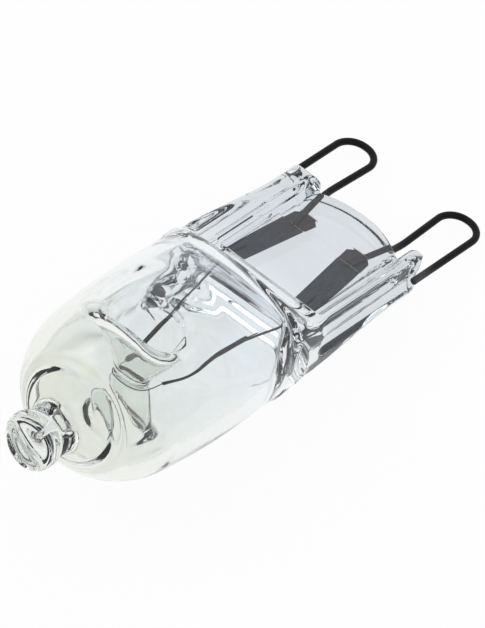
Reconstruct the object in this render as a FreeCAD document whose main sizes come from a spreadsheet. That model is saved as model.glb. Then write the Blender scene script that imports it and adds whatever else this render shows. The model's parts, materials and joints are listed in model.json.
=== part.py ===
import FreeCAD, Part
import math
import os

import Sketcher

# Halogen capsule lamp with two wire contact loops, lying on its belly as it comes to rest.
#
# Each piece is drawn in the lamp's own frame: X runs along the axis from the sealed exhaust tip at 0
# towards the contact loops, Y runs across the flat pinch, Z stands square to it. At the end one
# placement, the same for every piece, leans the lamp onto its belly and the edge of its pinch.

# Driving sizes in mm: the name of the cell, its value, and what it measures.
SIZES = [
    ("tip_length", 3.5, "exhaust tip, from its end to the dome"),
    ("bead_radius", 1.8, "melted bead at the end of the exhaust tip"),
    ("bead_round", 0.7, "rounding of the bead's rim"),
    ("waist_run", 0.6, "fall from the bead's rim to the waist behind it"),
    ("waist_depth", 0.3, "depth of the waist under the bead"),
    ("collar_length", 1.1, "straight collar between waist and dome"),
    ("collar_radius", 1.8, "its radius"),
    ("belly_radius", 6.5, "full radius of the bulb"),
    ("dome_tuck", 0.3, "by how much its round end is smaller"),
    ("taper_length", 3.8, "from the round end's middle to where the tube has its full radius"),
    ("wall", 0.95, "quartz wall of the bulb"),
    ("press_lead", 4.4, "from there to where the jaws begin to flatten the tube"),
    ("press_run", 4.8, "length over which they flatten it"),
    ("slit", 0.8, "height that they leave of the space inside"),
    ("pinch_half_width", 5.9, "flat outer side of the pinch, from the axis"),
    ("shoulder_tuck", 0.3, "by how much the round tube ends inside that side"),
    ("rail_thickness", 4.86, "thickness of the pinch at its rails"),
    ("rail_foot", 1.7, "width of a rail at the web"),
    ("rail_top", 0.7, "width of a rail at its top"),
    ("rail_short", 0.4, "rails' end, short of the web's"),
    ("rail_corner", 0.8, "rounding of a rail's end, outside"),
    ("rail_inner_corner", 0.5, "rounding of a rail's end, towards the web"),
    ("rail_end_round", 0.7, "rounding of a rail's end, above and below"),
    ("bevel", 0.5, "bevel on the rails' outer edges, at their loop side"),
    ("bevel_length", 5.9, "its length, from the rail's end"),
    ("web_inset", 0.6, "bulb side of the thin web, from where the jaws end"),
    ("web_length", 11.3, "from there to the middle of the web's rounded end"),
    ("web_thickness", 2.6, "thickness of the web"),
    ("web_arch", 6.8, "radius of the web's rounded end"),
    ("step_inset", 5.0, "first shallow step across the web, from the web's end"),
    ("step_gap", 1.7, "from the first step to the second"),
    ("step_depth", 0.12, "depth of each step"),
    ("slot_start", 0.4, "bulb side end of the slot along a rail's outer edge, from where the jaws end"),
    ("slot_length", 8.1, "its length"),
    ("slot_edge", 0.23, "its upper edge, under the rail's top"),
    ("slot_height", 1.2, "its height"),
    ("slot_depth", 0.3, "its depth"),
    ("groove_start", 0.5, "bulb side end of the wire groove in a rail's side, from where the jaws end"),
    ("groove_low", 1.15, "its lower edge, under the axis"),
    ("groove_height", 1.95, "its height"),
    ("groove_depth", 0.4, "its depth"),
    ("dimple_inset", 1.5, "middle of the two dimples, from the middle of the dome"),
    ("dimple_slot", 1.6, "straight length of a dimple across the bulb"),
    ("dimple_mouth_width", 3.4, "width of a dimple over the belly, along the bulb"),
    ("dimple_foot_width", 0.5, "width of a dimple at its foot"),
    ("dimple_wall", 0.45, "glass round a dimple"),
    ("bridge", 0.5, "glass left between the two dimples"),
    ("loop_wire", 0.5, "diameter of the contact loops' wire"),
    ("loop_spacing", 9.0, "middle to middle of the two loops"),
    ("loop_width", 2.96, "middle to middle of a loop's two legs"),
    ("loop_flat", 0.16, "straight stretch at the top of a loop, between its two bends"),
    ("loop_out", 5.95, "wire's middle at the top of the loop, from the web's end"),
    ("loop_free_inset", 1.3, "free end of the outer leg in its groove, from the rail's end"),
    ("loop_turn_out", 0.1, "where the inner leg turns towards its foil, from the web's end"),
    ("loop_turn_side", 3.25, "its distance from the axis there"),
    ("loop_turn", 8.0, "radius of that turn"),
    ("loop_weld", 1.7, "length of the inner leg on its foil"),
    ("loop_weld_side", 2.4, "its end's distance from the axis"),
    ("foil_inset", 0.8, "bulb side end of the foils, from the web's"),
    ("foil_length", 7.7, "length of the foils"),
    ("foil_width", 1.9, "width of the foils"),
    ("foil_thickness", 0.1, "thickness of the foils"),
    ("foil_start_side", 3.25, "middle of a foil at its bulb side, from the axis"),
    ("foil_end_side", 2.3, "middle of a foil at its loop side"),
    ("foil_corner", 0.45, "corners cut off the foils"),
    ("lead_wire", 0.16, "diameter of the inner leads"),
    ("lead_bend_inset", 0.5, "where an inner lead bends onto its foil, before the foil"),
    ("lead_bend_side", 3.45, "its distance from the axis there"),
    ("lead_bend", 1.6, "radius of that bend"),
    ("lead_weld", 1.9, "length of the inner lead on its foil"),
    ("lead_weld_side", 3.0, "its end's distance from the axis"),
    ("lead_in_coil", 0.6, "length of the lead inside the coil"),
    ("coil", 0.3, "outer diameter of the coiled filament"),
    ("coil_gap", 1.3, "tip side end of the filament's two limbs, from the dimples' middle"),
    ("coil_length", 7.1, "length of the limbs along the bulb"),
    ("coil_start_side", 2.45, "distance of the limbs from the axis at their lead side"),
    ("filament_wire", 0.12, "plain wire that hooks the filament round the bridge"),
    ("hook_gap", 0.2, "from the bridge's glass to that wire's middle"),
    ("hook_bend", 0.9, "its bend radius"),
    ("weld_share", 0.8, "height of a welded wire's middle over the foil, in wire radii"),
    ("lean", 0.0, "angle at which the lamp lies, found below"),
    ("slide", 0.0, "shift along the floor, found below"),
    ("lift", 0.0, "height over the floor, found below"),
]

doc = FreeCAD.newDocument("halogen_capsule_lamp")
sheet = doc.addObject("Spreadsheet::Sheet", "Sizes")


def fill_sheet():
    """Write every driving size into the sheet, one row each, under its own name."""
    for row, (name, value, meaning) in enumerate(SIZES, start=1):
        sheet.set(f"A{row}", name)
        sheet.set(f"B{row}", str(value))
        sheet.setAlias(f"B{row}", name)
        sheet.set(f"C{row}", meaning)
    doc.recompute()


class Size:
    """A length that knows both its value and the sheet expression it comes from."""

    def __init__(self, value, text):
        self.value = value
        self.text = text

    def __add__(self, other):
        other = as_size(other)
        return Size(self.value + other.value, f"({self.text} + {other.text})")

    def __sub__(self, other):
        other = as_size(other)
        return Size(self.value - other.value, f"({self.text} - {other.text})")

    def __mul__(self, other):
        other = as_size(other)
        return Size(self.value * other.value, f"({self.text} * {other.text})")

    def __truediv__(self, other):
        other = as_size(other)
        return Size(self.value / other.value, f"({self.text} / {other.text})")

    def __neg__(self):
        return Size(-self.value, f"(0 - {self.text})")


def as_size(thing):
    """Let a plain number stand beside the sheet's sizes."""
    return thing if isinstance(thing, Size) else Size(thing, str(thing))


def cell(name):
    """The size with this name in the sheet."""
    return Size(sheet.get(name), f"Sizes.{name}")


def root(size):
    """The square root of a size."""
    return Size(math.sqrt(size.value), f"sqrt({size.text})")


def plane_sketch(body, name, role, offset=None):
    """An empty sketch on one of the body's own origin planes, moved off it by offset."""
    sketch = body.newObject("Sketcher::SketchObject", name)
    plane = next(item for item in body.Origin.OriginFeatures if item.Role == role)
    sketch.AttachmentSupport = [(plane, "")]
    sketch.MapMode = "FlatFace"
    if offset is not None:
        sketch.setExpression("AttachmentOffset.Base.z", offset.text)
    doc.recompute()
    return sketch


def arc_between(start, end, radius, left):
    """A circular arc from start to end, with its centre on the left or right of the way."""
    middle = (start + end) * 0.5
    along = end - start
    reach = math.sqrt(max(radius * radius - along.Length * along.Length / 4, 0.0))
    side = FreeCAD.Vector(-along.y, along.x, 0).normalize()
    centre = middle + side * (reach if left else -reach)
    first = math.atan2(start.y - centre.y, start.x - centre.x)
    last = math.atan2(end.y - centre.y, end.x - centre.x)
    if not left:
        first, last = last, first
    circle = Part.Circle(centre, FreeCAD.Vector(0, 0, 1), radius)
    return Part.ArcOfCircle(circle, first, last)


def limit_place(sketch, what, size):
    """Add a constraint to the sketch and tie it to the sheet."""
    size = as_size(size)
    index = sketch.addConstraint(Sketcher.Constraint(*what, size.value))
    if "Sizes." in size.text:
        name = f"size_{index}"
        sketch.renameConstraint(index, name)
        sketch.setExpression(f"Constraints.{name}", size.text)


def outline(sketch, corners, closed=True):
    """Draw a chain of lines and arcs through corners (across, up, bend), all tied to the sheet.

    bend is None for a straight way to the next corner, or (radius, "left" or "right") for an arc
    whose centre lies on that side of the way. A radius of None is a half circle, whose two ends
    stand straight across or straight above each other.
    """
    points = [FreeCAD.Vector(as_size(c[0]).value, as_size(c[1]).value, 0) for c in corners]
    ways = len(corners) if closed else len(corners) - 1
    ends = []
    for i in range(ways):
        start, end, bend = points[i], points[(i + 1) % len(points)], corners[i][2]
        if bend is None:
            index = sketch.addGeometry(Part.LineSegment(start, end), False)
            ends.append((index, 1, 2))
            continue
        radius, side = bend
        length = start.distanceToPoint(end) / 2 if radius is None else radius.value
        index = sketch.addGeometry(arc_between(start, end, length, side == "left"), False)
        ends.append((index, 1, 2) if side == "left" else (index, 2, 1))
        if radius is not None:
            limit_place(sketch, ("Radius", index), radius)
        elif abs(start.x - end.x) < abs(start.y - end.y):
            limit_place(sketch, ("DistanceX", -1, 1, index, 3), corners[i][0])
        else:
            limit_place(sketch, ("DistanceY", -1, 1, index, 3), corners[i][1])
    for i in range(ways if closed else ways - 1):
        here, after = ends[i], ends[(i + 1) % ways]
        sketch.addConstraint(Sketcher.Constraint("Coincident", here[0], here[2], after[0], after[1]))
    marks = [(end[0], end[1]) for end in ends]
    if not closed:
        marks.append((ends[-1][0], ends[-1][2]))
    for (index, place), corner in zip(marks, corners):
        limit_place(sketch, ("DistanceX", -1, 1, index, place), corner[0])
        limit_place(sketch, ("DistanceY", -1, 1, index, place), corner[1])


def box_corners(low_across, low_up, high_across, high_up):
    """The corners of an upright rectangle."""
    return [(low_across, low_up, None), (high_across, low_up, None),
            (high_across, high_up, None), (low_across, high_up, None)]


def pocket(body, sketch, name, along_normal, both=False):
    """Cut a sketch away through everything, along its plane's normal or against it, or to both sides."""
    before = body.Shape.Volume
    cut = body.newObject("PartDesign::Pocket", name)
    cut.Profile = sketch
    if both:
        cut.Midplane = True
        cut.Type = 0
        cut.setExpression("Length", (loop_top() * 2).text)
    else:
        cut.Type = 1
        cut.Reversed = along_normal
    doc.recompute()
    if cut.Shape.Volume >= before:
        raise ValueError(f"{name} cuts nothing")
    return cut


def new_body(name):
    """An empty body of the document."""
    body = doc.addObject("PartDesign::Body", name)
    body.Label = name
    return body


def revolve(body, sketch, name):
    """Turn a sketch of the XY plane round the lamp's axis."""
    turned = body.newObject("PartDesign::Revolution", name)
    turned.Profile = sketch
    turned.ReferenceAxis = (sketch, ["H_Axis"])
    turned.Angle = 360
    doc.recompute()
    return turned


def dome_radius():
    """Radius of the bulb's round end."""
    return cell("belly_radius") - cell("dome_tuck")


def dome_place():
    """Middle of the round end, which meets the exhaust tip's collar."""
    dome, collar = dome_radius(), cell("collar_radius")
    return cell("tip_length") + root(dome * dome - collar * collar)


def press_start():
    """Where the jaws begin to flatten the tube."""
    return dome_place() + cell("taper_length") + cell("press_lead")


def press_end():
    """Where the rails reach their thickness."""
    return press_start() + cell("press_run")


def web_start():
    """Bulb side of the web."""
    return press_end() + cell("web_inset")


def web_end():
    """Middle of the web's rounded end."""
    return web_start() + cell("web_length")


def rail_end():
    """End of the rails."""
    return web_end() - cell("rail_short")


def web_side():
    """Half the web's width, to the foot of the rails."""
    return cell("pinch_half_width") - cell("rail_foot")


def loop_top():
    """Wire's middle at the top of the contact loops: the whole lamp ends half a wire further out."""
    return web_end() + cell("loop_out")


def foil_start():
    """Bulb side end of the foils."""
    return web_start() + cell("foil_inset")


def foil_end():
    """Loop side end of the foils."""
    return foil_start() + cell("foil_length")


def dimple_place():
    """Middle of the two dimples."""
    return dome_place() + cell("dimple_inset")


def bridge_reach():
    """From the dimples' middle to the glass round their feet, along the bulb."""
    return cell("dimple_foot_width") / 2 + cell("dimple_wall")


def hook_side():
    """Distance of the filament's hook from the axis, beside the bridge."""
    return cell("dimple_slot") / 2 + bridge_reach() + cell("hook_gap")


def coil_end():
    """Tip side end of the filament's limbs."""
    return dimple_place() + cell("coil_gap")


def coil_start():
    """Lead side end of the filament's limbs."""
    return coil_end() + cell("coil_length")


def taper_foot():
    """Where the round end runs smoothly into the taper, as place and radius."""
    run, full, dome = cell("taper_length"), cell("belly_radius"), dome_radius()
    square = run * run + full * full
    reach = root(square - dome * dome)
    share = dome / square
    return dome_place() + (dome * run - reach * full) * share, (dome * full + reach * run) * share


def jaw_profile(top, low):
    """Corners of what the jaws press away on one side: an even bend down from top to low."""
    start, end, far = press_start(), press_end(), loop_top()
    run, fall = end - start, top - low
    curve = (run * run + fall * fall) / (fall * 4)
    return [
        (start, top, (curve, "right")),
        (start + run / 2, low + fall / 2, (curve, "left")),
        (end, low, None),
        (far, low, None),
        (far, far, None),
        (start, far, None),
    ]


def mirrored(corners):
    """The same corners on the other side of the sketch's first axis."""
    other = {"left": "right", "right": "left"}
    return [(c[0], -as_size(c[1]), None if c[2] is None else (c[2][0], other[c[2][1]]))
            for c in corners]


def press(body, name, top, low):
    """Flatten the tube between the jaws, above and below the axis."""
    sketch = plane_sketch(body, f"{name}_sides", "XZ_Plane")
    outline(sketch, jaw_profile(top, low))
    outline(sketch, mirrored(jaw_profile(top, low)))
    pocket(body, sketch, name, False, both=True)


def glass_blank():
    """The drawn tube with its closed dome and tip, and the solid pinch that the jaws form on it."""
    body = new_body("glass_blank")
    side = plane_sketch(body, "tube_profile", "XY_Plane")
    foot_place, foot_radius = taper_foot()
    collar, tip = cell("collar_radius"), cell("tip_length")
    bead, rim = cell("bead_radius"), cell("bead_round")
    outline(side, [
        (0, 0, None),
        (press_end(), 0, None),
        (press_end(), cell("pinch_half_width") - cell("shoulder_tuck"), None),
        (press_start(), cell("belly_radius"), None),
        (dome_place() + cell("taper_length"), cell("belly_radius"), None),
        (foot_place, foot_radius, (dome_radius(), "left")),
        (tip, collar, None),
        (tip - cell("collar_length"), collar, None),
        (rim + cell("waist_run"), bead - cell("waist_depth"), None),
        (rim, bead, (rim, "left")),
        (0, bead - rim, None),
    ])
    revolve(body, side, "drawn_tube")
    section = plane_sketch(body, "pinch_section", "YZ_Plane", press_start())
    wide, half = cell("pinch_half_width"), cell("rail_thickness") / 2
    outline(section, box_corners(-wide, -half, wide, half))
    block = body.newObject("PartDesign::Pad", "pinch_block")
    block.Profile = section
    block.setExpression("Length", (web_end() - press_start()).text)
    doc.recompute()
    press(body, "jaw_press", cell("belly_radius"), half)
    return body


def web_recess(body):
    """Press the thin web between the sloping rails, from both faces, with two shallow steps across it."""
    foot, crest = web_side(), cell("pinch_half_width") - cell("rail_top")
    low, high = cell("web_thickness") / 2, cell("rail_thickness") / 2
    far = loop_top()
    wide = foot + (crest - foot) * (far - low) / (high - low)
    for side, face in ((1, "upper"), (-1, "lower")):
        sketch = plane_sketch(body, f"web_{face}_section", "YZ_Plane", web_start())
        outline(sketch, [(-foot, low * side, None), (foot, low * side, None),
                         (wide, far * side, None), (-wide, far * side, None)])
        pocket(body, sketch, f"web_{face}", True)
        for step, name in ((1, "first"), (2, "second")):
            start = web_end() - cell("step_inset") + cell("step_gap") * (step - 1)
            level = low - cell("step_depth") * step
            sketch = plane_sketch(body, f"{name}_step_{face}_area", "XY_Plane", level * side)
            outline(sketch, box_corners(start, -foot, far, foot))
            pocket(body, sketch, f"{name}_step_{face}", side > 0)


def rail_forms(body):
    """What the jaws form on each rail: a slot along its edge, a groove for the wire, a bevel."""
    wide, half = cell("pinch_half_width"), cell("rail_thickness") / 2
    radius = cell("slot_height") / 2
    low = half - cell("slot_edge") - cell("slot_height")
    start, end = press_end() + cell("slot_start") + radius, press_end() + cell("slot_length") - radius
    tall, under = cell("groove_height"), -cell("groove_low")
    inner = press_end() + cell("groove_start") + tall / 2
    bevel, far = cell("bevel"), loop_top()
    for side, hand in ((1, "left"), (-1, "right")):
        sketch = plane_sketch(body, f"slot_{hand}_area", "XZ_Plane", (wide - cell("slot_depth")) * -side)
        outline(sketch, [
            (start, low, None), (end, low, (None, "left")),
            (end, low + radius * 2, None), (start, low + radius * 2, (None, "left")),
        ])
        pocket(body, sketch, f"slot_{hand}", side < 0)
        sketch = plane_sketch(body, f"groove_{hand}_area", "XZ_Plane", (wide - cell("groove_depth")) * -side)
        outline(sketch, [
            (inner, under, None), (far, under, None),
            (far, under + tall, None), (inner, under + tall, (None, "left")),
        ])
        pocket(body, sketch, f"groove_{hand}", side < 0)
        sketch = plane_sketch(body, f"bevel_{hand}_area", "YZ_Plane", rail_end() - cell("bevel_length"))
        outline(sketch, [
            ((wide - bevel) * side, half, None), (wide * side, half - bevel, None),
            (far * side, half - bevel, None), (far * side, half, None),
        ])
        pocket(body, sketch, f"bevel_{hand}", True)


def end_outline(body):
    """Cut the pinch's end to its shape: rounded rail ends with the web's arched end between."""
    sketch = plane_sketch(body, "end_area", "XY_Plane")
    wide, outer = web_side(), cell("pinch_half_width")
    bend, turn, arch = cell("rail_corner"), cell("rail_inner_corner"), cell("web_arch")
    rail, far = rail_end(), loop_top()
    arch_foot = web_end() - arch + root(arch * arch - wide * wide)
    outline(sketch, [
        (far, far, None),
        (rail - bend, far, None),
        (rail - bend, outer, (bend, "right")),
        (rail, outer - bend, None),
        (rail, wide + turn, (turn, "right")),
        (rail - turn, wide, None),
        (arch_foot, wide, (arch, "right")),
        (arch_foot, -wide, None),
        (rail - turn, -wide, (turn, "right")),
        (rail, -wide - turn, None),
        (rail, bend - outer, (bend, "right")),
        (rail - bend, -outer, None),
        (rail - bend, -far, None),
        (far, -far, None),
    ])
    pocket(body, sketch, "end_cut", False, both=True)
    sketch = plane_sketch(body, "end_sides", "XZ_Plane")
    half, bend = cell("rail_thickness") / 2, cell("rail_end_round")
    corners = [
        (rail - bend, half, (bend, "right")),
        (rail, half - bend, None),
        (far, half - bend, None),
        (far, far, None),
        (rail - bend, far, None),
    ]
    outline(sketch, corners)
    outline(sketch, mirrored(corners))
    pocket(body, sketch, "end_rounding", False, both=True)


def glass_hollow():
    """The space inside the bulb: the tube's round bore, which the jaws close to a slit at the pinch."""
    body = new_body("glass_hollow")
    wall = cell("wall")
    bore = cell("belly_radius") - wall
    middle = dome_place() - dome_radius() + wall + bore
    side = plane_sketch(body, "hollow_profile", "XY_Plane")
    outline(side, [
        (middle - bore, 0, None),
        (press_end(), 0, None),
        (press_end(), cell("pinch_half_width") - wall * 2, None),
        (press_start(), bore, None),
        (middle, bore, (bore, "left")),
    ])
    revolve(body, side, "hollow_round")
    press(body, "hollow_press", bore, cell("slit") / 2)
    return body


def dimple(name, side, extra):
    """A blunt blade pressed in from above or below, grown on all sides by extra."""
    body = new_body(name)
    foot = cell("bridge") / 2 - extra
    mouth = cell("belly_radius") + cell("wall")
    straight = cell("dimple_slot") / 2
    sketches = []
    for level, place in (("foot", foot), ("mouth", mouth)):
        sketch = plane_sketch(body, f"{name}_{level}", "XY_Plane", place * side)
        half_width = cell(f"dimple_{level}_width") / 2 + extra
        outline(sketch, [
            (dimple_place() + half_width, -straight, None),
            (dimple_place() + half_width, straight, (None, "left")),
            (dimple_place() - half_width, straight, None),
            (dimple_place() - half_width, -straight, (None, "left")),
        ])
        sketches.append(sketch)
    loft = body.newObject("PartDesign::AdditiveLoft", f"{name}_blade")
    loft.Profile = sketches[0]
    loft.Sections = [sketches[1]]
    loft.Ruled = True
    doc.recompute()
    return body


def bent_way(sketch, points):
    """Draw straight runs through points (along, across, bend) with a tangent arc at each inner one."""
    places = [FreeCAD.Vector(as_size(p[0]).value, as_size(p[1]).value, 0) for p in points]
    starts, ends = [places[0]], []
    turns = []
    for i in range(1, len(points) - 1):
        into = (places[i] - places[i - 1]).normalize()
        out = (places[i + 1] - places[i]).normalize()
        reach = points[i][2].value * math.tan(into.getAngle(out) / 2)
        ends.append(places[i] - into * reach)
        starts.append(places[i] + out * reach)
        turns.append(into.x * out.y - into.y * out.x > 0)
    ends.append(places[-1])
    lines = []
    for i, (start, end) in enumerate(zip(starts, ends)):
        lines.append(sketch.addGeometry(Part.LineSegment(start, end), False))
        if i < len(turns):
            arc = arc_between(end, starts[i + 1], points[i + 1][2].value, turns[i])
            sketch.addGeometry(arc, False)
    for i, left in enumerate(turns):
        line, after, arc = lines[i], lines[i + 1], lines[i] + 1
        corner = sketch.addGeometry(Part.Point(places[i + 1]), True)
        limit_place(sketch, ("DistanceX", -1, 1, corner, 1), points[i + 1][0])
        limit_place(sketch, ("DistanceY", -1, 1, corner, 1), points[i + 1][1])
        sketch.addConstraint(Sketcher.Constraint("PointOnObject", corner, 1, line))
        sketch.addConstraint(Sketcher.Constraint("PointOnObject", corner, 1, after))
        sketch.addConstraint(Sketcher.Constraint("Tangent", line, 2, arc, 1 if left else 2))
        sketch.addConstraint(Sketcher.Constraint("Tangent", arc, 2 if left else 1, after, 1))
        limit_place(sketch, ("Radius", arc), points[i + 1][2])
    for index, place, point in ((lines[0], 1, points[0]), (lines[-1], 2, points[-1])):
        limit_place(sketch, ("DistanceX", -1, 1, index, place), point[0])
        limit_place(sketch, ("DistanceY", -1, 1, index, place), point[1])


def pipe(body, name, points, height, wire):
    """Run a round wire along straight runs bent at their corners, in a level plane."""
    way = plane_sketch(body, f"{name}_way", "XY_Plane", height)
    bent_way(way, points)
    section = body.newObject("Sketcher::SketchObject", f"{name}_section")
    section.AttachmentSupport = [(way, "Edge1")]
    section.MapMode = "NormalToEdge"
    doc.recompute()
    index = section.addGeometry(
        Part.Circle(FreeCAD.Vector(0, 0, 0), FreeCAD.Vector(0, 0, 1), wire.value / 2), False)
    section.addConstraint(Sketcher.Constraint("Coincident", index, 3, -1, 1))
    limit_place(section, ("Diameter", index), wire)
    run = body.newObject("PartDesign::AdditivePipe", name)
    run.Profile = section
    run.Spine = (way, [])
    doc.recompute()
    return run


def contact_loop(name, side):
    """One contact: a wire bent round, welded to its foil and with its free end in the groove."""
    body = new_body(name)
    outer = (cell("loop_spacing") + cell("loop_width")) / 2
    inner = (cell("loop_spacing") - cell("loop_width")) / 2
    bend = (cell("loop_width") - cell("loop_flat")) / 2
    pipe(body, f"{name}_wire", [
        (rail_end() - cell("loop_free_inset"), outer * side),
        (loop_top(), outer * side, bend),
        (loop_top(), inner * side, bend),
        (web_end() + cell("loop_turn_out"), cell("loop_turn_side") * side, cell("loop_turn")),
        (foil_end() - cell("loop_weld"), cell("loop_weld_side") * side),
    ], cell("loop_wire") / 2 * cell("weld_share"), cell("loop_wire"))
    return body


def inner_lead(name, side):
    """The thin lead that carries one end of the filament and is welded to its foil."""
    body = new_body(name)
    pipe(body, f"{name}_wire", [
        (coil_start() - cell("lead_in_coil"), cell("coil_start_side") * side),
        (foil_start() - cell("lead_bend_inset"), cell("lead_bend_side") * side, cell("lead_bend")),
        (foil_start() + cell("lead_weld"), cell("lead_weld_side") * side),
    ], cell("lead_wire") / 2 * cell("weld_share"), cell("lead_wire"))
    return body


def foil(name, side):
    """The thin foil that carries the current through the sealed pinch, its corners cut off."""
    body = new_body(name)
    half = cell("foil_width") / 2
    corner = cell("foil_corner")
    start, end = foil_start(), foil_end()
    start_side, end_side = cell("foil_start_side"), cell("foil_end_side")
    sketch = plane_sketch(body, f"{name}_shape", "XY_Plane")
    outline(sketch, [
        (start, (start_side - half + corner) * side, None),
        (start + corner, (start_side - half) * side, None),
        (end - corner, (end_side - half) * side, None),
        (end, (end_side - half + corner) * side, None),
        (end, (end_side + half - corner) * side, None),
        (end - corner, (end_side + half) * side, None),
        (start + corner, (start_side + half) * side, None),
        (start, (start_side + half - corner) * side, None),
    ])
    plate = body.newObject("PartDesign::Pad", f"{name}_plate")
    plate.Profile = sketch
    plate.Reversed = True
    plate.setExpression("Length", cell("foil_thickness").text)
    doc.recompute()
    return body


def filament_form():
    """The coiled filament: two straight limbs and the plain wire hooked round the glass bridge."""
    body = new_body("filament_form")
    height = cell("lead_wire") / 2 * cell("weld_share")
    back = dimple_place() - bridge_reach() - cell("hook_gap")
    for side, name in ((1, "left"), (-1, "right")):
        pipe(body, f"limb_{name}", [
            (coil_start(), cell("coil_start_side") * side),
            (coil_end(), hook_side() * side),
        ], height, cell("coil"))
    pipe(body, "hook", [
        (coil_end() + cell("coil"), -hook_side()),
        (back, -hook_side(), cell("hook_bend")),
        (back, hook_side(), cell("hook_bend")),
        (coil_end() + cell("coil"), hook_side()),
    ], height, cell("filament_wire"))
    return body


def joined(name, pieces):
    """Several forms taken together, to cut with."""
    group = doc.addObject("Part::MultiFuse", name)
    group.Shapes = pieces
    return group


def cut_from(name, base, tool):
    """What is left of one form when another is taken away."""
    left = doc.addObject("Part::Cut", name)
    left.Base = base
    left.Tool = tool
    left.Label = name
    return left


def leaned(point, angle):
    """A point of the lamp's own frame, turned by the lean: its place along the floor and its height."""
    along = point.x * math.cos(angle) + point.z * math.sin(angle)
    return along, point.z * math.cos(angle) - point.x * math.sin(angle)


def find_rest(glass, pieces):
    """Find the lean at which belly and pinch touch the floor together, and centre the lamp there."""
    fine, halvings, steepest = 0.02, 40, math.pi / 4
    points = glass.tessellate(fine)[0]
    split = press_end().value
    belly = [p for p in points if p.x < split]
    pinch = [p for p in points if p.x >= split]
    low, high = 0.0, steepest
    for _ in range(halvings):
        angle = (low + high) / 2
        gap = min(leaned(p, angle)[1] for p in belly) - min(leaned(p, angle)[1] for p in pinch)
        if gap < 0:
            low = angle
        else:
            high = angle
    for piece in pieces:
        points = points + piece.tessellate(fine)[0]
    places = [leaned(p, angle) for p in points]
    alongs = [along for along, height in places]
    set_cell("lean", math.degrees(angle))
    set_cell("slide", -(min(alongs) + max(alongs)) / 2)
    set_cell("lift", -min(height for along, height in places))


def set_cell(name, value):
    """Write a size that was worked out into its cell."""
    sheet.set(sheet.getCellFromAlias(name), str(value))


def lay_down(form):
    """Give a form the placement at which the lamp rests, tied to the sheet."""
    turn = FreeCAD.Rotation(FreeCAD.Vector(0, 1, 0), sheet.get("lean"))
    form.Placement = FreeCAD.Placement(FreeCAD.Vector(0, 0, 0), turn)
    form.setExpression("Placement.Rotation.Angle", "Sizes.lean")
    form.setExpression("Placement.Base.x", "Sizes.slide")
    form.setExpression("Placement.Base.z", "Sizes.lift")


def check(thing):
    """Stop if an object of the document failed or holds no sound shape."""
    if "Invalid" in thing.State or "Error" in thing.State:
        raise ValueError(f"{thing.Label} failed: {thing.State}")
    shape = getattr(thing, "Shape", None)
    if shape is not None and (shape.isNull() or not shape.isValid()):
        raise ValueError(f"{thing.Label} has no sound shape")


def write_nodes(nodes):
    """Write each piece to its own file, in the lying position."""
    os.makedirs("parts", exist_ok=True)
    for node in nodes:
        if len(node.Shape.Solids) != 1:
            raise ValueError(f"{node.Label} is not one solid")
        node.Shape.exportStep(f"parts/{node.Label}.step")
        box = node.Shape.BoundBox
        print(node.Label, round(node.Shape.Volume, 4),
              [round(v, 3) for v in (box.XMin, box.YMin, box.ZMin, box.XMax, box.YMax, box.ZMax)])


fill_sheet()
blank = glass_blank()
web_recess(blank)
rail_forms(blank)
end_outline(blank)
hollow = glass_hollow()
forms = [blank, hollow]
dimples = []
dimple_walls = []
for side, face in ((1, "upper"), (-1, "lower")):
    dimples.append(dimple(f"dimple_{face}", side, as_size(0)))
    dimple_walls.append(dimple(f"dimple_wall_{face}", side, cell("dimple_wall")))
loops, foils, leads, metal = [], [], [], []
for side, hand in ((1, "left"), (-1, "right")):
    foils.append(foil(f"foil_{hand}", side))
    loops.append(contact_loop(f"loop_form_{hand}", side))
    leads.append(inner_lead(f"lead_form_{hand}", side))
filament = filament_form()
forms += dimples + dimple_walls + loops + foils + leads + [filament]

nodes = list(foils)
for index, hand in enumerate(("left", "right")):
    nodes.append(cut_from(f"contact_loop_{hand}", loops[index], foils[index]))
    nodes.append(cut_from(f"inner_lead_{hand}", leads[index], foils[index]))
nodes.append(cut_from("filament", filament, joined("lead_forms", leads)))
space = cut_from("bulb_space", hollow, joined("dimple_wall_forms", dimple_walls))
taken = joined("glass_taken", [space] + dimples + loops + leads + foils)
nodes.append(cut_from("quartz_envelope", blank, taken))
doc.recompute()
find_rest(nodes[-1].Shape, [loop.Shape for loop in loops])
doc.recompute()
for form in forms:
    lay_down(form)
doc.recompute()
for thing in doc.Objects:
    check(thing)
print("lean, slide, lift:", [round(sheet.get(name), 4) for name in ("lean", "slide", "lift")])
print("top of the loops:", round(loop_top().value, 4))
write_nodes(nodes)
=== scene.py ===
import itertools
import json
import math

import bpy
import numpy as np
from mathutils import Matrix, Vector


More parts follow.
